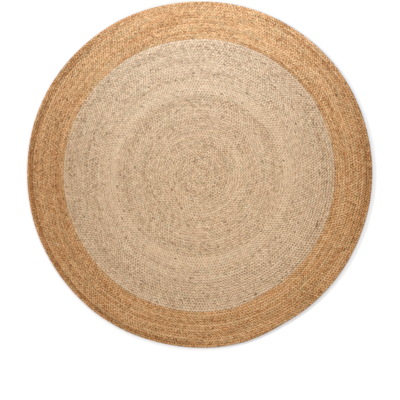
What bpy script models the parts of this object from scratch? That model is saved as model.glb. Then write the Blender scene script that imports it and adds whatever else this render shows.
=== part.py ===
"""A flat round rug of plaited jute, with a wide border of darker jute.

One flat plait is wound edge to edge from the middle outwards, each turn sewn to
the one before. The centre and the border are two such coils, one fitting round
the other, and each is a closed solid: a flat underside on z = 0, and on top a
raised crown along every row with the sewn seam as a groove beside it. A coil's
last turn tapers off, so that the next coil, or the rim, closes round it.

Units are metres, +Z is up, and the origin is under the middle of the rug.
"""

import math

import bmesh
import bpy
from mathutils import Vector

# Driving dimensions, in metres unless a name says otherwise
RUG_RADIUS = 0.750
ROWS = 66                 # rows of plait from the middle to the rim
CENTRE_ROWS = 52          # of them, rows of undyed jute
THICKNESS = 0.009         # under a row's crown
SEAM_DEPTH = 0.0022       # from a crown down to the seam beside it
RIM_BULGE = 0.0012        # how far the outermost row rounds out past its seam line
FIT_GAP = 0.0003          # between the two coils
TAIL_ANGLE = math.radians(300.0)    # direction in which both coils end
TAIL_TAPER = math.radians(15.0)     # length of a coil's tapered tail
TURN_STEPS = 48           # straight lengths to a turn

# How far the hand-laid rows wander at the rim: (waves to a turn, height, crest)
WANDERING = (
    (3, 0.0014, math.radians(28.0)),
    (4, 0.0011, math.radians(49.0)),
    (9, 0.0006, math.radians(236.0)),
)

# How far the coil's start lies off the rim's middle; the outer rows take it up
START_OFFSET = Vector((-0.0015, -0.0075))

# Worked out from the dimensions above
ROW_PITCH = (RUG_RADIUS - RIM_BULGE) / ROWS
SEAM_HEIGHT = THICKNESS - SEAM_DEPTH
HALF_ROW = 0.5            # in rows: the coil starts as a knob half a row in radius
WELD_DISTANCE = 0.00002
SMOOTH_ANGLE = math.radians(50.0)

COLLECTION_NAME = "RoundJuteRug"
NATURAL_JUTE = (0.617, 0.440, 0.288, 1.0)
TAN_JUTE = (0.545, 0.305, 0.148, 1.0)
JUTE_ROUGHNESS = 0.85


def clear_scene():
    """Remove whatever the scene starts with."""
    for scene_object in list(bpy.data.objects):
        bpy.data.objects.remove(scene_object, do_unlink=True)


def make_collection():
    """Return a new collection, linked to the scene, that holds the rug."""
    collection = bpy.data.collections.new(COLLECTION_NAME)
    bpy.context.scene.collection.children.link(collection)
    return collection


def jute_material(name, color):
    """Return a dull fibre material of one colour."""
    material = bpy.data.materials.new(name)
    material.use_nodes = True
    shader = material.node_tree.nodes["Principled BSDF"]
    shader.inputs["Base Color"].default_value = color
    shader.inputs["Roughness"].default_value = JUTE_ROUGHNESS
    shader.inputs["Metallic"].default_value = 0.0
    return material


def spiral_seam(row, turn):
    """Radius of the seam outside a row, at a share of a turn past the tail."""
    return (row - HALF_ROW + turn) * ROW_PITCH


def closing_seam(row, turn):
    """Radius of a coil's outermost seam, which tapers back to where its turn began."""
    taper_share = TAIL_TAPER / math.tau
    taper = min(1.0, (1.0 - turn) / taper_share)
    return spiral_seam(row, turn * taper)


def centre_seams(turn):
    """Radii of the centre coil's seams, from its knob to its edge."""
    knob = HALF_ROW * ROW_PITCH
    rows = [spiral_seam(row, turn) for row in range(1, CENTRE_ROWS)]
    return [knob, *rows, closing_seam(CENTRE_ROWS, turn)]


def border_seams(turn):
    """Radii of the border coil's seams, from its inner edge to the rim."""
    inner_edge = closing_seam(CENTRE_ROWS, turn) + FIT_GAP
    first_row = max(inner_edge, spiral_seam(CENTRE_ROWS, turn))
    rows = [spiral_seam(row, turn) for row in range(CENTRE_ROWS + 1, ROWS)]
    return [inner_edge, first_row, *rows, closing_seam(ROWS, turn)]


def lay_rows(seams_at):
    """Return the top of a coil: a grid bent round, each turn welded to the next."""
    rows = len(seams_at(0.0)) - 1
    coil = bmesh.new()
    bmesh.ops.create_grid(coil, x_segments=2 * rows, y_segments=TURN_STEPS, size=0.5)
    for vert in coil.verts:
        across = (vert.co.x + 0.5) * rows
        turn = round((vert.co.y + 0.5) * TURN_STEPS) / TURN_STEPS
        row = min(int(across + WELD_DISTANCE), rows - 1)
        inner, outer = seams_at(turn)[row:row + 2]
        share = across - row
        crown = SEAM_DEPTH * 4.0 * share * (1.0 - share) * (outer - inner) / ROW_PITCH
        radius = inner + (outer - inner) * share
        angle = TAIL_ANGLE + turn * math.tau
        height = SEAM_HEIGHT + crown
        vert.co = (radius * math.cos(angle), radius * math.sin(angle), height)
    bmesh.ops.remove_doubles(coil, verts=coil.verts, dist=WELD_DISTANCE)
    return coil


def edge_loops(coil):
    """Return the open edges of a coil as its inner loop and its outer loop."""
    middle = sum(vert.co.xy.length for vert in coil.verts) / len(coil.verts)
    open_edges = [edge for edge in coil.edges if edge.is_boundary]
    inner = [edge for edge in open_edges if edge.verts[0].co.xy.length < middle]
    outer = [edge for edge in open_edges if edge.verts[0].co.xy.length >= middle]
    return inner, outer


def extend_wall(coil, edges, outward, height):
    """Extrude a loop of edges, outward by a distance and to a height, and return it."""
    grown = bmesh.ops.extrude_edge_only(coil, edges=edges)["geom"]
    for vert in grown:
        if isinstance(vert, bmesh.types.BMVert):
            vert.co.xy += vert.co.xy.normalized() * outward
            vert.co.z = height
    return [edge for edge in grown if isinstance(edge, bmesh.types.BMEdge) and edge.is_boundary]


def close_knob(coil, edges):
    """Close the middle of the coil with a low knob, where the plait is folded in."""
    knob = bmesh.ops.contextual_create(coil, geom=edges)["faces"]
    peak = bmesh.ops.poke(coil, faces=knob)["verts"][0]
    peak.co.z = THICKNESS - SEAM_DEPTH / 2


def build_centre_coil():
    """Return the disc of undyed jute."""
    coil = lay_rows(centre_seams)
    inner, outer = edge_loops(coil)
    close_knob(coil, inner)
    foot = extend_wall(coil, outer, 0.0, 0.0)
    bmesh.ops.contextual_create(coil, geom=foot)
    return coil


def build_border_coil():
    """Return the ring of darker jute that fits round the disc."""
    coil = lay_rows(border_seams)
    inner, outer = edge_loops(coil)
    inner_foot = extend_wall(coil, inner, 0.0, 0.0)
    bulge = extend_wall(coil, outer, RIM_BULGE, THICKNESS / 2)
    outer_foot = extend_wall(coil, bulge, -RIM_BULGE, 0.0)
    bmesh.ops.triangle_fill(coil, use_beauty=True, edges=inner_foot + outer_foot)
    return coil


def wander(coil):
    """Let the rows wander off the true circle, and the coil start off the rim's middle."""
    for vert in coil.verts:
        angle = math.atan2(vert.co.y, vert.co.x)
        reach = (vert.co.xy.length / RUG_RADIUS) ** 2
        drift = sum(height * math.cos(waves * (angle - crest)) for waves, height, crest in WANDERING)
        outward = vert.co.xy.normalized()
        vert.co.xy += outward * drift * reach + START_OFFSET * (1.0 - reach ** 2)


def middle_of(coils):
    """Return the middle of the coils' common box, on the ground."""
    xs = [vert.co.x for coil in coils for vert in coil.verts]
    ys = [vert.co.y for coil in coils for vert in coil.verts]
    return Vector(((min(xs) + max(xs)) / 2, (min(ys) + max(ys)) / 2, 0.0))


def add_object(name, coil, material, collection):
    """Turn a finished coil into a named, smooth object with its own material."""
    bmesh.ops.recalc_face_normals(coil, faces=coil.faces)
    mesh = bpy.data.meshes.new(name)
    coil.to_mesh(mesh)
    coil.free()
    mesh.shade_smooth()
    mesh.set_sharp_from_angle(angle=SMOOTH_ANGLE)
    mesh.materials.append(material)
    collection.objects.link(bpy.data.objects.new(name, mesh))


def main():
    """Build the rug."""
    clear_scene()
    collection = make_collection()
    centre = build_centre_coil()
    border = build_border_coil()
    for coil in (centre, border):
        wander(coil)
    middle = middle_of((centre, border))
    for coil in (centre, border):
        bmesh.ops.translate(coil, vec=-middle, verts=coil.verts)
    add_object("center_coil", centre, jute_material("natural_jute", NATURAL_JUTE), collection)
    add_object("border_coil", border, jute_material("tan_jute", TAN_JUTE), collection)


main()
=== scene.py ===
"""A flat round rug of plaited jute with a wide border of darker jute, on a pale floor.

The rug is one flat three-strand plait, wound edge to edge from the middle outwards and
sewn to itself. Each length of the plait is modelled straight, from one repeat with a
lobe on either side of its middle line, and is then laid along the coil. The camera
looks straight down on it.

Units are metres, +Z is up, and the origin is under the middle of the rug.
"""

import logging
import math
from dataclasses import dataclass
from enum import Enum
from typing import Union

import bpy
import numpy as np
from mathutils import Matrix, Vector


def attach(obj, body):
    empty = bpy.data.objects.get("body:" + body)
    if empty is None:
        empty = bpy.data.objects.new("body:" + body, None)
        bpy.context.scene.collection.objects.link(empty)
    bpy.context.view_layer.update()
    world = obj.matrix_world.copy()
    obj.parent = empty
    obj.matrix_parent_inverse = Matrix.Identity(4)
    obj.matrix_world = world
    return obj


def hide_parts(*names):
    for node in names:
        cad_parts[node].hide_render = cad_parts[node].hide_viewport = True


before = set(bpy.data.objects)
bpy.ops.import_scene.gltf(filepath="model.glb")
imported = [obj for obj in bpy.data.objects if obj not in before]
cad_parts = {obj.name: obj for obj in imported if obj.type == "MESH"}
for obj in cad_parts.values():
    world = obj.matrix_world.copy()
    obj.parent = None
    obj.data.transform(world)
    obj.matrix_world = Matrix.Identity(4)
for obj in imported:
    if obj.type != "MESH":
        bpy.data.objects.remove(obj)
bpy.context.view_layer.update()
BODY = "root"
PLAIT_MAP = "Plait"  # the map that the jute's nodes read
BAKE_MAP = "OFBake"  # the map with the skin folded into bands, for baking
LOBE_LAYER = "lobe"  # each face's tone, hue, chance, and the depth of its painted slit and seam shade
ACROSS_LAYER = "across"  # each point's place across the plait
MERGE_REACH = 0.00002  # joins a repeat's end to the next one's start
LOG = logging.getLogger("round_jute_rug")

Pair = tuple[float, float]
Triple = tuple[float, float, float]
Socket = bpy.types.NodeSocket
Value = Union[Socket, float, tuple[float, ...]]


class Jute(Enum):
    """Which of the two jutes a length of plait is made of."""

    NATURAL = "natural_jute"
    TAN = "tan_jute"


class Side(Enum):
    """Which way the middle of a chevron leads, on the face that shows or below."""

    ABOVE = 1.0
    BELOW = -1.0


def smooth_noise(seed: int, places: np.ndarray) -> np.ndarray:
    """Return soft random waves from -1 to 1, a wave or so to a unit of length.

    Args:
        seed: Which run of waves it is.
        places: Where on the line each value is wanted, from 0 up.

    Returns:
        A value for each place.
    """
    steps = np.floor(places).astype(int)
    levels = np.random.default_rng(seed).uniform(-1.0, 1.0, int(steps.max()) + 2)
    share = places - steps
    share = share * share * (3.0 - 2.0 * share)
    return levels[steps] * (1.0 - share) + levels[steps + 1] * share


def between(turns: np.ndarray, first: float, last: float, fade: float) -> np.ndarray:
    """Return 1 from the first turn to the last and 0 outside, with a fade at either end."""
    return np.clip((turns - first) / fade, 0.0, 1.0) * np.clip((last - turns) / fade, 0.0, 1.0)


def read_points(mesh: bpy.types.Mesh) -> np.ndarray:
    """Return the places of a mesh's points.

    Args:
        mesh: The mesh.

    Returns:
        Rows of x, y and z.
    """
    points = np.empty(len(mesh.vertices) * 3)
    mesh.vertices.foreach_get("co", points)
    return points.reshape(-1, 3)


@dataclass(frozen=True)
class Winding:
    """How the plait lies in the rug: the spiral of its rows, and how they wander.

    Places along the plait are counted in turns, which are whole where a row passes the
    direction in which the coils end. A row at turn t runs at a radius of t pitches.
    """

    radius: float = 0.750
    rows: int = 66
    centre_rows: int = 52
    rim_bulge: float = 0.0012
    fit_gap: float = 0.0003
    tail_angle: float = math.radians(300.0)
    tail_taper: float = 15.0 / 360.0
    frame_steps: int = 48
    wandering: tuple[Triple, ...] = (  # waves around, height, and the direction of a crest
        (3, 0.0014, math.radians(28.0)),
        (4, 0.0011, math.radians(49.0)),
        (9, 0.0006, math.radians(236.0)),
    )
    start_offset: Pair = (-0.0015, -0.0075)
    true_turns: float = 2.0  # from the start, before the hand's faults show
    seam_waves: tuple[float, ...] = (0.083, 0.131, 0.290)
    seam_sway: float = 0.00022
    groove_depth: float = 0.0012  # of the seams, where the hand sewed them loosely
    groove_wave: float = 0.060
    groove_seed: int = 7
    groove_fade: float = 0.04  # in turns, at either end of an open groove
    open_grooves: tuple[Triple, ...] = (
        (52.20, 52.42, 0.0012),
        (63.05, 63.38, 0.0015),
        (63.45, 63.72, 0.0014),
        (63.72, 63.94, 0.0005),
    )

    @property
    def pitch(self) -> float:
        """Return the width of a row."""
        return (self.radius - self.rim_bulge) / self.rows

    def length_at(self, turns: float) -> float:
        """Return how much plait is wound by a turn that is past the first half turn."""
        return math.pi * self.pitch * (turns**2 + 0.25)

    def turns_at(self, lengths: np.ndarray) -> np.ndarray:
        """Return the turn that each length reaches: from -0.5, as a wedge of plait up to 0.5."""
        laid = np.maximum(lengths, 0.0) / (math.pi * self.pitch)
        return np.where(laid < 0.5, np.sqrt(2.0 * laid) - 0.5, np.sqrt(np.maximum(laid - 0.25, 0.0)))

    def closing(self, row: int, turns: np.ndarray) -> np.ndarray:
        """Return a coil's outer edge in its last row, in rows, with its tapered tail."""
        turn = turns - (row - 1)
        return row - 0.5 + turn * np.clip((1.0 - turn) / self.tail_taper, 0.0, 1.0)

    def wound(self, turns: np.ndarray) -> np.ndarray:
        """Return how far along its seam each turn is, from the coil's start."""
        return math.pi * self.pitch * np.maximum(turns, 0.0) ** 2

    def sway(self, turns: np.ndarray) -> np.ndarray:
        """Return how far the hand pulled a seam off its line, at each turn."""
        waves = [smooth_noise(seed, self.wound(turns) / wave) for seed, wave in enumerate(self.seam_waves)]
        return self.seam_sway * np.clip(turns / self.true_turns, 0.0, 1.0) * sum(waves)

    def groove(self, turns: np.ndarray) -> np.ndarray:
        """Return how far a row's outer seam is pressed in.

        Args:
            turns: Where on the seam it is wanted.

        Returns:
            The depths.
        """
        waves = smooth_noise(self.groove_seed, self.wound(turns) / self.groove_wave)
        depth = self.groove_depth * np.clip(waves, 0.0, 1.0)
        for first, last, deepest in self.open_grooves:
            depth = np.maximum(depth, deepest * between(turns, first, last, self.groove_fade))
        return np.where((turns < self.true_turns) | (turns > self.rows - 1), 0.0, depth)

    def pressed(self, outward: np.ndarray, lengths: np.ndarray) -> np.ndarray:
        """Return how far the nearer seam is pressed in: the outer one, where outward is above 0."""
        turns = self.turns_at(lengths)
        return np.where(outward > 0.0, self.groove(turns), self.groove(turns - 1.0))

    def edges(self, turns: np.ndarray, jute: Jute) -> tuple[np.ndarray, np.ndarray]:
        """Return the radii of a row's two edges.

        Args:
            turns: Where on the plait the edges are wanted.
            jute: Which coil the row belongs to.

        Returns:
            The inner radii and the outer radii.
        """
        inner = np.maximum(turns - 0.5, 0.0) * self.pitch
        outer = (turns + 0.5) * self.pitch
        inner_sway, outer_sway = self.sway(turns), self.sway(turns + 1.0)
        closed = self.closing(self.centre_rows, turns) * self.pitch
        if jute is Jute.NATURAL:
            outer = np.where(turns > self.centre_rows - 1, closed, outer)
        else:
            wedge = turns < self.centre_rows
            inner = np.where(wedge, closed, inner)
            inner += np.where(turns < self.centre_rows + 1 - self.tail_taper, self.fit_gap, 0.0)
            inner_sway = np.where(wedge, outer_sway, inner_sway)
            outer = np.where(turns > self.rows - 1, self.closing(self.rows, turns) * self.pitch, outer)
        inner = inner + inner_sway
        return inner, np.maximum(outer + outer_sway, inner)

    def spread(self, radii: np.ndarray, angles: np.ndarray) -> tuple[np.ndarray, np.ndarray]:
        """Return where places on the true circles come to lie, as the rows wander.

        Args:
            radii: The places' distances from the coil's start.
            angles: Their directions from it.

        Returns:
            Their x and their y.
        """
        drift = sum(
            height * np.cos(waves * (angles - crest)) for waves, height, crest in self.wandering
        )
        reach = (radii / self.radius) ** 2
        radii = radii + drift * reach
        x = radii * np.cos(angles) + self.start_offset[0] * (1.0 - reach**2)
        return x, radii * np.sin(angles) + self.start_offset[1] * (1.0 - reach**2)

    def middle(self) -> Pair:
        """Return the middle of the rim's box, where the rug is centred.

        Returns:
            Its x and its y.
        """
        turn = np.arange(self.frame_steps) / self.frame_steps
        rim = self.closing(self.rows, self.rows - 1 + turn) * self.pitch + self.rim_bulge
        x, y = self.spread(rim, self.tail_angle + turn * math.tau)
        return float(x.min() + x.max()) / 2.0, float(y.min() + y.max()) / 2.0

    def lay(self, across: np.ndarray, lengths: np.ndarray, jute: Jute) -> tuple[np.ndarray, ...]:
        """Lay places on the straight plait along the coil.

        Args:
            across: Distances from the middle line of the plait, outwards.
            lengths: Distances along the plait from its very start.
            jute: Which coil the plait belongs to.

        Returns:
            Their x, their y, and how full the row's width is there, from 0 to 1.
        """
        turns = self.turns_at(lengths)
        inner, outer = self.edges(turns, jute)
        width = outer - inner
        radii = np.maximum(inner + width * (across / self.pitch + 0.5), 0.0)
        x, y = self.spread(radii, self.tail_angle + turns * math.tau)
        middle_x, middle_y = self.middle()
        return x - middle_x, y - middle_y, np.clip(width / self.pitch, 0.0, 1.0)


@dataclass(frozen=True)
class PlaitRepeat:
    """One repeat of the flat plait: a slanting lobe on either side of the middle line."""

    width: float
    thickness: float = 0.009
    length: float = 0.012
    lead: float = 0.0048  # of the middle over the edges, along the plait
    slit_depth: float = 0.0022  # between a lobe and the next
    slit_share: float = 0.18  # of a lobe that rounds down into the slit
    edge_height: float = 0.0070  # where two rows meet
    edge_reach: float = 0.0003  # of a lobe under its neighbour in the next row
    edge_notch: float = 0.0003  # how far a slit draws the edge in
    shoulder_drop: float = 0.0004  # of a lobe towards the seam
    middle_drop: float = 0.0010  # where the lobes dive under each other
    middle_step: float = 0.07  # of the width: how far a lobe crosses the middle line
    tuck: float = 0.0005  # of a lobe's later shoulder, which dives under the next
    foot_width: float = 0.44  # of the width: the underside's flat
    foot_relief: float = 0.0009  # of the lobes on the underside
    columns: tuple[float, ...] = (-0.5, -0.38, -0.2, 0.0, 0.2, 0.38, 0.5)
    shoulder_from: float = 0.3  # of the width from the middle: the columns that drop

    @property
    def phases(self) -> tuple[float, ...]:
        """Return where a left lobe is modelled: slit, shoulder, crest, shoulder, slit."""
        return (0.0, self.slit_share, 0.5, 1.0 - self.slit_share, 1.0)

    @property
    def right_phases(self) -> tuple[float, ...]:
        """Return where the right lobes are modelled, which are half a lobe later."""
        return (0.5, 1.0 - self.slit_share, 1.0, 1.0 + self.slit_share, 1.5)

    def slit(self, phase: float) -> float:
        """Return how far a lobe's face lies under its crest: most in the slits, at whole phases."""
        place = phase % 1.0
        return self.slit_depth if min(place, 1.0 - place) < 1e-6 else self.tuck * (place > 0.5)

    def along(self, column: float, line: int, side: Side) -> float:
        """Return how far along the plait a line of the grid is.

        Args:
            column: The place across, in widths from the middle line.
            line: The line along the repeat, from 0 to 4.
            side: The face that the line is on.

        Returns:
            The distance from the repeat's start.
        """
        left = self.phases[line]
        right = (0.0, 0.5 - self.slit_share, 0.5, 0.5 + self.slit_share, 1.0)[line]
        share = left if column < 0 else right if column > 0 else (left + right) / 2.0
        return share * self.length + side.value * self.lead * (1.0 - 2.0 * abs(column))

    def face_point(self, column: float, line: int) -> Triple:
        """Return where a point of the upper face lies.

        Args:
            column: Its place across, in widths from the middle line.
            line: Its line along the repeat, from 0 to 4.

        Returns:
            Its place across, along and up.
        """
        phase = self.right_phases[line] if column > 0 else self.phases[line]
        across = column
        if column == 0.0:
            across = self.middle_step * -math.cos(self.phases[line] * math.tau)
            height = self.thickness - self.middle_drop
        elif abs(column) == 0.5:
            reach = self.edge_reach - self.edge_notch * self.slit(phase) / self.slit_depth
            across += math.copysign(reach / self.width, column)
            height = self.edge_height
        else:
            shoulder = self.shoulder_drop if abs(column) > self.shoulder_from else 0.0
            height = self.thickness - shoulder - self.slit(phase)
        return across * self.width, self.along(column, line, Side.ABOVE), height

    def model(self) -> bpy.types.Object:
        """Model the repeat as a tube, open at both ends.

        Returns:
            Its object.
        """
        bpy.ops.object.select_all(action="DESELECT")
        bpy.ops.mesh.primitive_grid_add(
            x_subdivisions=len(self.columns) - 1, y_subdivisions=len(self.phases) - 1, size=1.0
        )
        repeat = bpy.context.object
        columns = []
        for vert in repeat.data.vertices:
            column = self.columns[round((vert.co.x + 0.5) * (len(self.columns) - 1))]
            columns.append(column)
            vert.co = self.face_point(column, round((vert.co.y + 0.5) * (len(self.phases) - 1)))
        across = repeat.data.attributes.new(ACROSS_LAYER, "FLOAT", "POINT")
        across.data.foreach_set("value", columns)
        self.close_below(repeat)
        return repeat

    def close_below(self, repeat: bpy.types.Object) -> None:
        """Extrude the two long edges in under the plait, and bridge them.

        Args:
            repeat: The repeat, as its upper face alone.
        """
        bpy.ops.object.mode_set(mode="EDIT")
        bpy.ops.mesh.select_all(action="DESELECT")
        bpy.ops.object.mode_set(mode="OBJECT")
        across = repeat.data.attributes[ACROSS_LAYER].data
        for edge in repeat.data.edges:
            edge.select = all(abs(across[index].value) == 0.5 for index in edge.vertices)
        count = len(repeat.data.vertices)
        bpy.ops.object.mode_set(mode="EDIT")
        bpy.ops.mesh.select_mode(type="EDGE")
        bpy.ops.mesh.extrude_region_move()
        bpy.ops.object.mode_set(mode="OBJECT")
        points = repeat.data.vertices
        across = repeat.data.attributes[ACROSS_LAYER].data
        lines = {False: [], True: []}
        for index in range(count, len(points)):
            lines[points[index].co.x > 0].append(index)
        for right, indices in lines.items():
            indices.sort(key=lambda index: points[index].co.y)
            column = self.foot_width / 2.0 * (1.0 if right else -1.0)
            for line, index in enumerate(indices):
                phase = self.phases[line] + (0.5 if right else 0.0)
                relief = self.foot_relief * (0.5 + 0.5 * math.cos(phase * math.tau))
                along = self.along(column, line, Side.BELOW)
                points[index].co = (column * self.width, along, relief)
                across[index].value = column
        bpy.ops.object.mode_set(mode="EDIT")
        bpy.ops.mesh.bridge_edge_loops()
        bpy.ops.object.mode_set(mode="OBJECT")


class Draw(Enum):
    """A run of random numbers, by what it adds to its jute's seed."""

    BATCH = 0
    STRAND = 10
    PATCH = 15
    TONE = 20
    HUE_RUN = 30
    HUE = 40
    DEPTH = 45
    CHANCE = 50
    LIFT = 60


@dataclass(frozen=True)
class LobeTones:
    """How the jute's colour changes from lobe to lobe, along a strand and along the plait."""

    seed: int
    strands: int = 3
    strand_run: float = 26.0  # lobes of a strand before its fibres change
    strand_share: float = 0.12
    lobe_share: float = 0.09
    patch_run: float = 14.0  # lobes of the plait before its tone changes
    patch_share: float = 0.04
    batch_run: float = 1.7  # turns of plait from one batch of jute
    batch_share: float = 0.05
    hue_run: float = 9.0  # lobes of the plait before its hue changes
    hue_share: float = 0.30
    lobe_hue_share: float = 0.12
    painted_shade_mean: float = 0.17  # how dark a lobe's painted slit and seam shade is, on average
    pale_limit: float = 0.2  # rows that are paler than this are no calmer for it
    pale_calm: float = 4.0  # how much of the lobes' changes a pale row loses
    pale_shallow: float = 4.5  # how much of its painted slit and seam shade it loses

    def draw(self, which: Draw, number: int = 0) -> np.random.Generator:
        """Return the source of a run of random numbers, or of the number-th like it."""
        return np.random.default_rng(self.seed + which.value + number)

    def waves(self, which: Draw, places: np.ndarray, number: int = 0) -> np.ndarray:
        """Return the soft random waves of a run, or of the number-th like it."""
        return smooth_noise(self.seed + which.value + number, places)

    def jitter(self, which: Draw, spread: float, lobes: np.ndarray) -> np.ndarray:
        """Return how far each lobe strays by chance."""
        return self.draw(which).normal(0.0, spread, int(lobes.max()) + 1)[lobes]

    def tone(self, lobes: np.ndarray, turns: np.ndarray, rings: np.ndarray) -> np.ndarray:
        """Return how pale each lobe is, from 0 to 1, with 0.5 as the jute's own colour.

        Args:
            lobes: The number of each lobe along the plait.
            turns: Where each lobe is on the coil, in turns.
            rings: How much paler the rows are there, by the coil's listed tones.

        Returns:
            The tones.
        """
        tone = 0.5 + rings + self.batch_share * self.waves(Draw.BATCH, turns / self.batch_run + 1.0)
        for strand in range(self.strands):
            its = lobes % self.strands == strand
            runs = self.waves(Draw.STRAND, lobes / (self.strands * self.strand_run), strand)
            tone = tone + np.where(its, self.strand_share * runs, 0.0)
        tone = tone + self.patch_share * self.waves(Draw.PATCH, lobes / self.patch_run)
        calm = 1.0 - self.pale_calm * np.clip(rings, 0.0, self.pale_limit)
        return np.clip(tone + self.jitter(Draw.TONE, self.lobe_share, lobes) * calm, 0.0, 1.0)

    def hue(self, lobes: np.ndarray) -> np.ndarray:
        """Return each lobe's hue: 0.5 for the jute's own, 0 for greenish, 1 for pinkish."""
        hue = 0.5 + self.hue_share * self.waves(Draw.HUE_RUN, lobes / self.hue_run)
        return np.clip(hue + self.jitter(Draw.HUE, self.lobe_hue_share, lobes), 0.0, 1.0)

    def depth(self, lobes: np.ndarray, rings: np.ndarray) -> np.ndarray:
        """Return how dark each lobe's painted slit and seam shade is, from 0 to 1: most are light, a few
        are dark.

        Args:
            lobes: The number of each lobe along the plait.
            rings: How much paler the rows are there, by the coil's listed tones.

        Returns:
            The depths.
        """
        depths = self.draw(Draw.DEPTH).exponential(self.painted_shade_mean, int(lobes.max()) + 1)
        shallow = 1.0 - self.pale_shallow * np.clip(rings, 0.0, self.pale_limit)
        return np.clip(depths[lobes] * shallow, 0.0, 1.0)

    def chance(self, lobes: np.ndarray) -> np.ndarray:
        """Return an even random number from 0 to 1 for each lobe."""
        return self.draw(Draw.CHANCE).uniform(0.0, 1.0, int(lobes.max()) + 1)[lobes]


@dataclass(frozen=True)
class Ease:
    """A soft step: where it starts and ends, and what it gives there."""

    low: float
    high: float
    first: float
    last: float


@dataclass(frozen=True)
class Grain:
    """A noise in the jute: its changes in a lobe's length and width, and how rough it is."""

    along: float
    across: float
    detail: float
    scale: float = 1.0


class NodeBench:
    """A short way to lay out a material's nodes."""

    MIXED_INPUTS = (6, 7)  # of a Mix node: its two colours
    MIXED_OUTPUT = 2

    def __init__(self, name: str) -> None:
        """Start a material.

        Args:
            name: What it is called.
        """
        self.material = bpy.data.materials.new(name)
        self.material.use_nodes = True
        self.tree = self.material.node_tree
        self.shader = self.tree.nodes["Principled BSDF"]

    def feed(self, socket: Socket, value: Value) -> None:
        """Link a socket to another's output, or set its value.

        Args:
            socket: The input that is fed.
            value: An output, or a plain value.
        """
        if isinstance(value, Socket):
            self.tree.links.new(value, socket)
        else:
            socket.default_value = value

    def add(self, kind: str, *values: Value, **settings: str) -> bpy.types.Node:
        """Add a node.

        Args:
            kind: Which node it is, after ShaderNode.
            values: What its inputs are fed, in turn.
            settings: Its own settings, by name.

        Returns:
            The node.
        """
        node = self.tree.nodes.new("ShaderNode" + kind)
        for name, setting in settings.items():
            setattr(node, name, setting)
        for socket, value in zip(node.inputs, values):
            self.feed(socket, value)
        return node

    def finish(self, values: dict[str, Value]) -> None:
        """Feed the material's shader, by the names of its inputs."""
        for name, value in values.items():
            self.feed(self.shader.inputs[name], value)

    def math(self, operation: str, *values: Value) -> Socket:
        """Return the result of a Math node on one to three values."""
        return self.add("Math", *values, operation=operation).outputs[0]

    def ramp(self, value: Value, low: Value, high: Value, to: tuple[Value, Value]) -> Socket:
        """Return a value eased from one range, low to high, to another."""
        return self.add("MapRange", value, low, high, *to, interpolation_type="SMOOTHSTEP").outputs[0]

    def ease(self, value: Value, step: Ease) -> Socket:
        """Return a value after a soft step."""
        return self.ramp(value, step.low, step.high, (step.first, step.last))

    def mix(self, share: Value, first: Value, second: Value) -> Socket:
        """Return two colours mixed.

        Args:
            share: How much of the second colour there is.
            first: The first, as an output or as red, green and blue.
            second: The second, likewise.

        Returns:
            The mixed colour.
        """
        node = self.add("Mix", share, data_type="RGBA")
        for socket, colour in zip(self.MIXED_INPUTS, (first, second)):
            self.feed(node.inputs[socket], (*colour, 1.0) if isinstance(colour, tuple) else colour)
        return node.outputs[self.MIXED_OUTPUT]

    def place(self, *values: Value) -> Socket:
        """Return up to three values as one vector."""
        return self.add("CombineXYZ", *values).outputs[0]

    def distance(self, places: Socket, spot: Triple) -> Socket:
        """Return the distance of places from a spot."""
        return self.add("VectorMath", places, spot, operation="DISTANCE").outputs["Value"]

    def noise(self, places: Socket, scale: float, detail: float) -> Socket:
        """Return cloudy noise, from about 0.25 to 0.75."""
        return self.add("TexNoise", places, 0.0, scale, detail).outputs[0]


class PlaitBench(NodeBench):
    """A bench for a jute's material, whose nodes read the plait's map and its lobes' tones."""

    def __init__(self, name: str, strand_spread: float) -> None:
        """Lay out the nodes that read the plait.

        Args:
            name: The material's name.
            strand_spread: How far apart in the noises the lobes' fibres are read.
        """
        super().__init__(name)
        plait = self.add("UVMap", uv_map=PLAIT_MAP)
        self.lobes, self.inward, _ = self.add("SeparateXYZ", plait.outputs[0]).outputs
        lobe = self.add("Attribute", attribute_name=LOBE_LAYER)
        self.tone, self.hue, self.chance = self.add("SeparateColor", lobe.outputs["Color"]).outputs
        # how dark the lobe's painted slit and seam shade is
        self.depth = lobe.outputs["Alpha"]
        within = self.math("FRACT", self.lobes)
        self.to_slit = self.math("MINIMUM", within, self.math("SUBTRACT", 1.0, within))
        self.strand = self.math("MULTIPLY", self.chance, strand_spread)

    def grain(self, grain: Grain) -> Socket:
        """Return one of the jute's noises, which is another one in each lobe.

        Args:
            grain: How fine and rough it is.

        Returns:
            The noise.
        """
        along = self.math("MULTIPLY", self.lobes, grain.along)
        across = self.math("MULTIPLY", self.inward, grain.across)
        return self.noise(self.place(along, across, self.strand), grain.scale, grain.detail)


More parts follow.
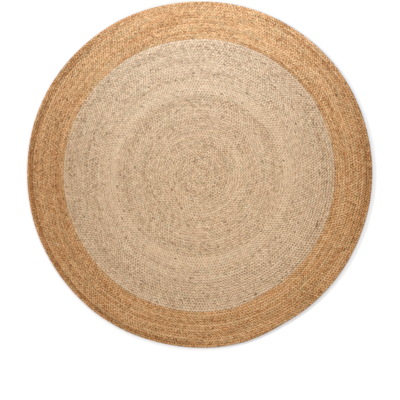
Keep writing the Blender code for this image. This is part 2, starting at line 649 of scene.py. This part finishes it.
@dataclass(frozen=True)
class JuteFinish:
    """The look of one jute: its colours, its fibres, and the painted shade between its strands."""

    name: str
    deep: Triple
    base: Triple
    pale: Triple
    pinkish: Triple
    greenish: Triple
    husk: Triple
    # the colour of the painted shade: in slits, seams, where lobes dive and on sunk-looking lobes
    slit: Triple
    # painted shade between two lobes
    painted_slit_shade: float = 0.90
    # painted shade between two rows
    painted_seam_shade: float = 0.26
    mottle: float = 1.30  # how far its colour changes within a lobe
    calm_share: float = 0.60  # of that in the palest lobes
    hue_share: float = 0.45  # of another hue, in the lobes that have most of it
    hue_still: float = 0.05  # how far a lobe's hue strays before it shows
    bits: float = 0.985  # the share of lobes without a bit of dark husk
    painted_sunk_shade: float = 0.70  # painted shade of a whole lobe, where its slits' painted shade is darkest
    open_depth: float = 0.0032  # of a pressed seam whose painted shade is full
    roughness: float = 0.60
    specular: float = 0.3
    sheen: float = 0.12
    sheen_roughness: float = 0.45
    strand_spread: float = 60.0  # of the lobes' fibres, in the noises
    coarse: Grain = Grain(7.0, 1.2, 2.0)
    fibre: Grain = Grain(26.0, 2.4, 3.0)
    clumps: Grain = Grain(2.7, 1.3, 0.0)
    husks: Grain = Grain(5.0, 1.6, 2.0, 2.0)
    patches: Grain = Grain(1.1, 1.0, 1.0)
    dash_run: float = 0.25  # dashes of painted shade in a seam, to a lobe
    streak_share: float = 0.9
    painted_crest_shading: Ease = Ease(0.0, 0.5, -0.14, 0.14)  # painted shading: darker by a slit, paler on the crest
    pale_tones: Pair = (0.52, 0.70)  # in which a lobe grows calmer
    speck: Ease = Ease(0.63, 0.74, 0.0, 0.9)  # by the husks' noise
    bit: Ease = Ease(0.45, 0.60, 0.9, 0.1)  # by the clumps' noise
    slit_reach: Pair = (0.14, 0.34)  # of the painted slit shade: by a light slit and by a dark one
    # how much of the painted seam shade a dash keeps
    dash: Ease = Ease(0.38, 0.62, 0.5, 1.4)
    painted_deep_seam_shade: float = 0.55  # more painted seam shade, beside the deepest slits
    seam_reach: float = 0.35
    dark_edge: float = 0.02  # of a slit or a seam, where its painted shade is full
    dive_reach: float = 0.86  # from where the lobes dive under each other, painted shade
    dive_share: float = 0.5  # of a slit's painted shade, where the lobes dive
    # how much of the painted shade shows, by the patches' noise
    patch: Ease = Ease(0.40, 0.62, 0.35, 1.0)
    # painted shade on whole lobes, by their slit depth and the clumps' noise
    painted_sunk_depths: Pair = (0.40, 0.95)
    painted_sunk_clumps: Ease = Ease(0.40, 0.60, 1.0, 0.35)
    relief_share: float = 0.6
    relief_edge: Ease = Ease(0.0, 0.12, 0.8, 0.0)
    relief_strength: float = 0.8
    relief_height: float = 0.0006

    def build(self) -> bpy.types.Material:
        """Make the material, which reads the plait's own map and the lobes' tones.

        Returns:
            The material.
        """
        bench = PlaitBench(self.name, self.strand_spread)
        coarse, fibre, clumps = (bench.grain(grain) for grain in (self.coarse, self.fibre, self.clumps))
        calm = bench.ramp(bench.tone, *self.pale_tones, (1.0, self.calm_share))
        streaks = bench.math("ADD", *(
            bench.math("MULTIPLY", bench.math("SUBTRACT", noise, 0.5), self.streak_share)
            for noise in (coarse, fibre)
        ))
        mottle = bench.math("MULTIPLY_ADD", clumps, self.mottle, self.mottle / -2.0)
        change = bench.math("MULTIPLY", bench.math("ADD", streaks, mottle), calm)
        colour = self.colour(bench, bench.math("ADD", bench.tone, change))
        husk = bench.ease(bench.grain(self.husks), self.speck)
        bit = bench.math("MULTIPLY", bench.math("GREATER_THAN", bench.chance, self.bits),
                         bench.ease(clumps, self.bit))
        colour = bench.mix(bench.math("MAXIMUM", husk, bit), colour, self.husk)
        # painted shade: the slit colour laid in slits, seams, dives and on sunk-looking lobes
        colour = bench.mix(self.painted_shade(bench, clumps, calm), colour, self.slit)
        bench.finish({
            "Base Color": colour, "Normal": self.relief(bench, fibre, coarse),
            "Roughness": self.roughness, "Specular IOR Level": self.specular,
            "Sheen Weight": self.sheen, "Sheen Roughness": self.sheen_roughness,
        })
        return bench.material

    def colour(self, bench: PlaitBench, shade: Socket) -> Socket:
        """Lay out the jute's colour, with painted shading from slit to crest, before husks and the painted
        shade.

        Args:
            bench: Where the nodes are laid out.
            shade: How pale the fibres are, with 0.5 as the jute's own colour.

        Returns:
            The colour.
        """
        # painted shading: darker by the slits, paler on the crests
        shade = bench.math("ADD", shade, bench.ease(bench.to_slit, self.painted_crest_shading))
        colour = bench.mix(bench.ramp(shade, 0.0, 0.5, (0.0, 1.0)), self.deep, self.base)
        colour = bench.mix(bench.ramp(shade, 0.5, 1.0, (0.0, 1.0)), colour, self.pale)
        for end, other in ((1.0, self.pinkish), (0.0, self.greenish)):
            still = 0.5 + math.copysign(self.hue_still, end - 0.5)
            colour = bench.mix(bench.ramp(bench.hue, still, end, (0.0, self.hue_share)), colour, other)
        return colour

    def painted_shade(self, bench: PlaitBench, clumps: Socket, calm: Socket) -> Socket:
        """Lay out the painted shade in the slits, in the seams, where the lobes dive and on some whole
        lobes.

        Args:
            bench: Where the nodes are laid out.
            clumps: The noise of the fibres' clumps.
            calm: How much of its changes a lobe keeps.

        Returns:
            The painted shade, from 0 to 1.
        """
        shallow, deep = self.slit_reach
        reach = bench.math("MULTIPLY_ADD", bench.depth, deep - shallow, shallow)
        slit = bench.ramp(bench.to_slit, self.dark_edge, reach, (self.painted_slit_shade, 0.0))
        dashes = bench.noise(bench.place(bench.math("MULTIPLY", bench.lobes, self.dash_run)), 1.0, 1.0)
        seam = bench.math("MULTIPLY", bench.ease(dashes, self.dash), self.painted_seam_shade)
        seam = bench.math("MULTIPLY", seam, calm)
        seam = bench.math("MULTIPLY_ADD", bench.depth, self.painted_deep_seam_shade, seam)
        seam = bench.ramp(bench.inward, self.dark_edge, self.seam_reach, (seam, 0.0))
        dive = bench.ramp(bench.inward, self.dive_reach, 1.0, (0.0, self.painted_slit_shade * self.dive_share))
        dark = bench.math("MAXIMUM", bench.math("MAXIMUM", slit, seam), dive)
        dark = bench.math("MULTIPLY", dark, bench.ease(bench.grain(self.patches), self.patch))
        # painted shade over whole lobes whose slits are darkest
        painted_sunk = bench.math("MULTIPLY", bench.ramp(bench.depth, *self.painted_sunk_depths, (0.0, self.painted_sunk_shade)),
                          bench.ease(clumps, self.painted_sunk_clumps))
        return bench.math("MAXIMUM", dark, painted_sunk)

    def relief(self, bench: PlaitBench, fibre: Socket, coarse: Socket) -> Socket:
        """Lay out the fibres' fine relief.

        Args:
            bench: Where the nodes are laid out.
            fibre: The noise of the fibres.
            coarse: The noise of their bundles.

        Returns:
            The bumped normal.
        """
        height = bench.math("ADD", *(bench.math("MULTIPLY", noise, self.relief_share)
                                     for noise in (fibre, coarse)))
        height = bench.math("SUBTRACT", height, bench.ease(bench.to_slit, self.relief_edge))
        bump = bench.add("Bump", self.relief_strength, self.relief_height)
        bench.feed(bump.inputs["Height"], height)
        return bump.outputs[0]


@dataclass(frozen=True)
class Corners:
    """What the maps need to know of a straight plait: its face corners and its faces."""

    face: np.ndarray  # each corner's face
    across: np.ndarray  # each corner's place across, in widths
    along: np.ndarray  # each corner's place along, in metres
    sides: np.ndarray  # how many corners each face has
    right: np.ndarray  # whether each face is right of the middle line
    below: np.ndarray  # whether each face is part of the underside

    def average(self, values: np.ndarray) -> np.ndarray:
        """Return each face's average of a value that its corners have."""
        return np.bincount(self.face, values, len(self.sides)) / self.sides


@dataclass(frozen=True)
class PlaitCoil:
    """One coil of the rug: its plait in a few lengths, wound on in turn.

    Its rows are paler or darker in places: rings are (turn, reach, how much paler), stretches (first turn,
    last turn, how much), sides (share of a turn, reach, how much), which change the tone by direction
    around the rug.
    """

    name: str
    node: str
    jute: Jute
    winding: Winding
    repeat: PlaitRepeat
    finish: JuteFinish
    tones: LobeTones
    first_turn: float
    last_turn: float
    lengths: int
    rings: tuple[Triple, ...] = ()
    stretches: tuple[Triple, ...] = ()
    sides: tuple[Triple, ...] = ()
    stretch_fade: float = 0.05  # in turns, at either end of a stretch
    bands: int = 30  # into which the skin is folded for baking
    band_edge: float = 0.06  # of a band, left free at either side
    upper_share: float = 0.58  # of the skin's width that is the upper face
    upper_from: float = 0.6  # of the thickness: what lies higher is the upper face
    seam_from: float = 0.42  # of the width from the middle: what lies farther is pressed in
    wedge_height: float = 0.75  # of the full height, where a tail ends
    uneven: float = 0.00012  # how unevenly the hand plaited it

    @property
    def start(self) -> float:
        """Return how much plait is wound before the coil begins."""
        return 0.0 if self.first_turn < 0 else self.winding.length_at(self.first_turn)

    @property
    def piece_length(self) -> float:
        """Return how much of the coil each of its lengths takes up."""
        return (self.winding.length_at(self.last_turn) - self.start) / self.lengths

    @property
    def repeats(self) -> int:
        """Return how many repeats each of the coil's lengths has."""
        return round(self.piece_length / self.repeat.length)

    def build(self) -> list[bpy.types.Object]:
        """Model each length of the plait, dress it and lay it along the coil.

        Returns:
            The lengths, in turn.
        """
        material = self.finish.build()
        pieces = []
        for number in range(self.lengths):
            piece = self.straight_plait(f"{self.name}_{number + 1}")
            self.dress(piece, number, material)
            self.wind(piece, number)
            piece.data.shade_smooth()
            self.declare(piece)
            pieces.append(piece)
        return pieces

    def straight_plait(self, name: str) -> bpy.types.Object:
        """Return a straight length of plait with closed ends.

        Args:
            name: What the piece is called.

        Returns:
            The plait, along +Y from the origin.
        """
        plait = self.repeat.model()
        plait.name = plait.data.name = name
        array = plait.modifiers.new("Repeats", "ARRAY")
        array.count = self.repeats
        array.use_relative_offset = False
        array.use_constant_offset = True
        array.constant_offset_displace = (0.0, self.repeat.length, 0.0)
        array.use_merge_vertices = True
        array.merge_threshold = MERGE_REACH
        bpy.ops.object.modifier_apply(modifier=array.name)
        bpy.ops.object.mode_set(mode="EDIT")
        bpy.ops.mesh.select_all(action="SELECT")
        bpy.ops.mesh.fill_holes(sides=0)
        bpy.ops.mesh.select_all(action="SELECT")
        bpy.ops.mesh.normals_make_consistent(inside=False)
        bpy.ops.object.mode_set(mode="OBJECT")
        return plait

    def corners(self, mesh: bpy.types.Mesh) -> Corners:
        """Return what the maps need to know of a straight plait.

        Args:
            mesh: The plait's mesh.

        Returns:
            Its corners and faces.
        """
        across = np.empty(len(mesh.vertices))
        mesh.attributes[ACROSS_LAYER].data.foreach_get("value", across)
        vertex = np.empty(len(mesh.loops), int)
        mesh.loops.foreach_get("vertex_index", vertex)
        sides = np.empty(len(mesh.polygons), int)
        mesh.polygons.foreach_get("loop_total", sides)
        face = np.repeat(np.arange(len(sides)), sides)
        low = np.isclose(np.abs(across), self.repeat.foot_width / 2.0, atol=1e-4)
        return Corners(
            face=face, sides=sides,
            across=across[vertex], along=read_points(mesh)[vertex, 1],
            right=np.bincount(face, across[vertex], len(sides)) > 0,
            below=np.bincount(face, low[vertex], len(sides)) > 0,
        )

    def dress(self, plait: bpy.types.Object, number: int, material: bpy.types.Material) -> None:
        """Give a straight plait its maps, its lobes' tones and its material.

        Args:
            plait: The straight plait.
            number: Which of the coil's lengths it is, from 0.
            material: The jute's material.
        """
        mesh = plait.data
        corners = self.corners(mesh)
        right = corners.right[corners.face]
        sign = np.where(corners.below[corners.face], Side.BELOW.value, Side.ABOVE.value)
        inward = 1.0 - 2.0 * np.abs(corners.across)
        straight = corners.along - sign * self.repeat.lead * inward
        lobes = straight / self.repeat.length + np.where(right, 0.5, 0.0)
        whole = np.floor(corners.average(lobes) + 1e-4).astype(int)
        self.add_map(mesh, PLAIT_MAP, lobes + 1.0, inward)

        lobe = np.clip(2 * whole + corners.right + 2 * self.repeats * number, 0, None)
        lengths = self.start + number * self.piece_length + corners.average(straight)
        turns = self.winding.turns_at(lengths)
        rings = self.ring_tone(turns)
        tone = self.tones.tone(lobe, np.maximum(turns, 0.0), rings)
        # a pressed seam's painted shade grows with its groove's depth
        pressed = self.winding.pressed(corners.right - 0.5, lengths) / self.finish.open_depth
        depth = np.maximum(self.tones.depth(lobe, rings), np.clip(pressed, 0.0, 1.0))
        colours = np.stack([tone, self.tones.hue(lobe), self.tones.chance(lobe), depth], 1)
        layer = mesh.attributes.new(LOBE_LAYER, "FLOAT_COLOR", "FACE")
        layer.data.foreach_set("color", colours.astype(np.float32).ravel())

        self.add_bake_map(mesh, corners, straight)
        mesh.materials.append(material)

    def ring_tone(self, turns: np.ndarray) -> np.ndarray:
        """Return how much paler the rows are, by the coil's rings, sides and stretches.

        Args:
            turns: Where on the coil it is wanted.

        Returns:
            What is added to the tone, at each turn.
        """
        tone = np.zeros(len(turns))
        for middle, reach, paler in self.rings:
            tone += paler * np.exp(-(((turns - middle) / reach) ** 2))
        for middle, reach, paler in self.sides:
            away = np.abs((turns - middle + 0.5) % 1.0 - 0.5)
            tone += paler * np.exp(-((away / reach) ** 2))
        for first, last, paler in self.stretches:
            tone += paler * between(turns, first, last, self.stretch_fade)
        return tone

    def add_map(self, mesh: bpy.types.Mesh, name: str, u: np.ndarray, v: np.ndarray) -> None:
        """Add a map to a mesh, from the two coordinates of each corner."""
        layer = mesh.uv_layers.new(name=name)
        layer.uv.foreach_set("vector", np.stack([u, v], 1).astype(np.float32).ravel())

    def add_bake_map(self, mesh: bpy.types.Mesh, corners: Corners, straight: np.ndarray) -> None:
        """Add a map with the plait's skin unrolled and folded into even bands.

        Args:
            mesh: The straight plait's mesh.
            corners: What is known of its corners.
            straight: Each corner's place along the plait, without the chevrons' lead.
        """
        upper, edge = self.upper_share, self.band_edge
        around = np.where(corners.below[corners.face], upper + (1.0 - upper) * (0.5 - corners.across),
                          upper * (corners.across + 0.5))
        run = self.repeat.length * self.repeats / self.bands
        band = np.clip(np.floor(corners.average(straight) / run), 0, self.bands - 1)[corners.face]
        spare = self.repeat.lead + self.repeat.length
        u = (corners.along - band * run + spare) / (run + 2.0 * spare)
        v = (band + edge + (1.0 - 2.0 * edge) * around) / self.bands
        self.add_map(mesh, BAKE_MAP, u, v)

    def wind(self, plait: bpy.types.Object, number: int) -> None:
        """Lay a straight plait along the coil, from where the last length ended.

        Args:
            plait: The straight plait.
            number: Which of the coil's lengths it is, from 0.
        """
        mesh = plait.data
        across, along, height = read_points(mesh).T
        stretch = self.piece_length / (self.repeats * self.repeat.length)
        lengths = self.start + number * self.piece_length + along * stretch
        lengths = np.clip(lengths, self.start, self.start + self.lengths * self.piece_length)
        x, y, fullness = self.winding.lay(across, lengths, self.jute)
        upper = height > self.repeat.thickness * self.upper_from
        at_seam = upper & (np.abs(across) > self.repeat.width * self.seam_from)
        uneven = self.tones.draw(Draw.LIFT, number).normal(0.0, self.uneven, len(height))
        lift = np.where(upper, uneven, 0.0)
        lift -= np.where(at_seam, self.winding.pressed(across, lengths), 0.0)
        full = self.wedge_height + (1.0 - self.wedge_height) * fullness
        z = np.maximum(height * full + lift, 0.0)
        mesh.vertices.foreach_set("co", np.stack([x, y, z], 1).ravel())
        mesh.update()

    def declare(self, piece: bpy.types.Object) -> None:
        """Fix a piece to the rug's body and hide the model's part that it stands for.

        Args:
            piece: One of the coil's lengths.
        """
        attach(piece, BODY)
        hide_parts(self.node)
        self.piece_length


@dataclass(frozen=True)
class Lamp:
    """A soft lamp: a round one, or a strip where it has a width."""

    name: str
    place: Triple
    aim: Triple
    size: float
    power: float
    width: float = 0.0
    colour: Triple = (1.0, 1.0, 1.0)

    def hang(self) -> None:
        """Hang the lamp in its place, facing what it is aimed at."""
        light = bpy.data.lights.new(self.name, "AREA")
        light.shape = "RECTANGLE" if self.width else "DISK"
        light.size = self.size
        light.size_y = self.width or self.size
        light.energy = self.power
        light.color = self.colour
        holder = bpy.data.objects.new(self.name, light)
        holder.location = self.place
        facing = Vector(self.aim) - Vector(self.place)
        holder.rotation_euler = facing.to_track_quat("-Z", "Y").to_euler()
        bpy.context.scene.collection.objects.link(holder)


@dataclass(frozen=True)
class Studio:
    """The pale floor, the soft light and the camera over the rug."""

    floor_size: float = 40.0
    floor_roughness: float = 0.9
    floor_white: Triple = (0.93, 0.93, 0.93)
    painted_floor_shade: Triple = (0.515, 0.459, 0.380)  # painted shade: a darker, warmer floor where the strip lamp is brightest, offsetting its light
    # where the painted floor shade is deepest, and over what distance it fades
    bright_spot: Triple = (0.0, 0.9, 0.0)
    bright_reach: Pair = (0.15, 1.40)
    glow_near: float = 0.19  # of the floor itself, by the rug's edge
    glow_far: float = 0.36
    glow_reach: Pair = (0.75, 1.30)
    painted_edge_shadow: float = 0.070  # painted contact shadow: less glow, right by the rug's edge, over edge_reach
    edge_reach: Pair = (0.748, 0.775)
    frame_width: float = 1.736  # of the floor, across the picture
    aim: Pair = (0.0014, -0.1101)
    camera_height: float = 4.0
    sensor: float = 36.0  # in millimetres
    sky: float = 0.45  # the strength of the even light from all round
    lamps: tuple[Lamp, ...] = (
        Lamp("Softbox", place=(0.15, -0.05, 1.10), aim=(0.15, -0.05, 0.0), size=0.5, power=4.6),
        Lamp("Left", place=(-7.5, 1.5, 3.1), aim=(0.0, 0.0, 0.0), size=1.0, power=385.0),
        Lamp("Far", place=(0.0, 7.4, 3.9), aim=(0.0, 0.0, 0.0), size=1.2, power=160.0),
        Lamp("Strip", place=(0.0, 0.91, 0.90), aim=(0.0, 1.76, 0.0), size=1.9, width=0.1, power=28.4,
             colour=(0.51, 0.69, 0.97)),
    )

    def build(self) -> None:
        """Make the camera, the floor and the light."""
        self.make_camera()
        self.make_floor()
        self.make_light()
        bpy.context.scene.view_settings.view_transform = "Standard"

    def make_camera(self) -> None:
        """Hang the camera over the rug, looking straight down."""
        camera = bpy.data.cameras.new("Camera")
        camera.sensor_width = self.sensor
        camera.lens = self.sensor * self.camera_height / self.frame_width
        holder = bpy.data.objects.new("Camera", camera)
        holder.location = (*self.aim, self.camera_height)
        bpy.context.scene.collection.objects.link(holder)
        bpy.context.scene.camera = holder

    def make_floor(self) -> None:
        """Lay a white floor that glows a little so that it stays white in the shade, painted darker under
        the strip lamp, with a painted contact shadow by the rug's edge.
        """
        bpy.ops.object.select_all(action="DESELECT")
        bpy.ops.mesh.primitive_plane_add(size=self.floor_size)
        floor = bpy.context.object
        floor.name = "Floor"
        bench = NodeBench("pale_floor")
        places = bench.add("TexCoord").outputs["Object"]
        outward = bench.distance(places, (0.0, 0.0, 0.0))
        glow = bench.ramp(outward, *self.glow_reach, (self.glow_near, self.glow_far))
        # painted contact shadow by the rug's edge
        glow = bench.math("SUBTRACT", glow, bench.ramp(outward, *self.edge_reach, (self.painted_edge_shadow, 0.0)))
        # painted shade under the strip lamp
        shade = bench.ramp(bench.distance(places, self.bright_spot), *self.bright_reach, (0.0, 1.0))
        bench.finish({
            "Base Color": bench.mix(shade, self.painted_floor_shade, self.floor_white),
            "Roughness": self.floor_roughness, "Specular IOR Level": 0.0,
            "Emission Color": (1.0, 1.0, 1.0, 1.0), "Emission Strength": glow,
        })
        floor.data.materials.append(bench.material)

    def make_light(self) -> None:
        """Hang the lamps, under an even white sky."""
        for lamp in self.lamps:
            lamp.hang()
        world = bpy.data.worlds.new("Sky")
        world.use_nodes = True
        background = world.node_tree.nodes["Background"]
        background.inputs["Color"].default_value = (1.0, 1.0, 1.0, 1.0)
        background.inputs["Strength"].default_value = self.sky
        bpy.context.scene.world = world


NATURAL = JuteFinish(
    name="natural_jute",
    deep=(0.315, 0.185, 0.078),
    base=(0.716, 0.480, 0.290),
    pale=(0.864, 0.682, 0.470),
    pinkish=(0.600, 0.380, 0.260),
    greenish=(0.500, 0.425, 0.275),
    husk=(0.190, 0.095, 0.035),
    # slit: the painted shade colour
    slit=(0.172, 0.088, 0.030),
)
TAN = JuteFinish(
    name="tan_jute",
    deep=(0.300, 0.105, 0.020),
    base=(0.657, 0.331, 0.114),
    pale=(0.814, 0.520, 0.278),
    pinkish=(0.620, 0.275, 0.100),
    greenish=(0.480, 0.330, 0.150),
    husk=(0.160, 0.060, 0.012),
    # slit: the painted shade colour
    slit=(0.165, 0.055, 0.009),
    painted_seam_shade=0.19,
    mottle=2.20,
    hue_share=0.75,
)


def main() -> None:
    """Set up the studio and build the rug's two coils."""
    logging.basicConfig(level=logging.INFO, format="%(message)s")
    Studio().build()
    winding = Winding()
    repeat = PlaitRepeat(width=winding.pitch)
    centre = PlaitCoil(
        name="centre_plait", node="center_coil", jute=Jute.NATURAL, winding=winding,
        repeat=repeat, finish=NATURAL, tones=LobeTones(seed=100),
        first_turn=-0.5, last_turn=float(winding.centre_rows), lengths=4,
        rings=((0.0, 2.0, 0.08), (7.6, 3.0, -0.05), (15.0, 5.0, 0.01), (28.6, 1.6, -0.10),
               (33.8, 3.2, 0.11), (42.0, 3.0, -0.02), (46.5, 2.0, 0.02), (48.7, 1.0, -0.06),
               (51.3, 1.0, 0.04)),
    )
    border = PlaitCoil(
        name="border_plait", node="border_coil", jute=Jute.TAN, winding=winding,
        repeat=repeat, finish=TAN,
        tones=LobeTones(seed=200, patch_run=20.0, patch_share=0.17, painted_shade_mean=0.18),
        first_turn=winding.centre_rows - winding.tail_taper, last_turn=float(winding.rows), lengths=2,
        # the ring at turn 65.7 is painted shade, darkening the outermost row where the rim's side slopes
        # away
        rings=((52.6, 0.6, -0.03), (65.7, 0.8, -0.12)),
        stretches=((52.24, 52.40, -0.20), (52.60, 52.78, 0.06), (63.08, 63.38, -0.24),
                   (63.40, 63.70, -0.14), (63.49, 63.62, -0.20), (64.09, 64.24, -0.42),
                   (64.48, 64.62, -0.30), (64.58, 64.95, -0.54), (64.70, 64.85, -0.18),
                   (65.08, 65.23, -0.20), (65.25, 65.40, 0.03), (65.47, 65.80, -0.12)),
        sides=((0.385, 0.030, -0.02), (0.455, 0.035, -0.06), (0.540, 0.035, 0.06), (0.735, 0.075, -0.08)),
        bands=34,
    )
    for coil in (centre, border):
        for piece in coil.build():
            LOG.info("%s: %d faces", piece.name, len(piece.data.polygons))


if __name__ == "__main__":
    main()
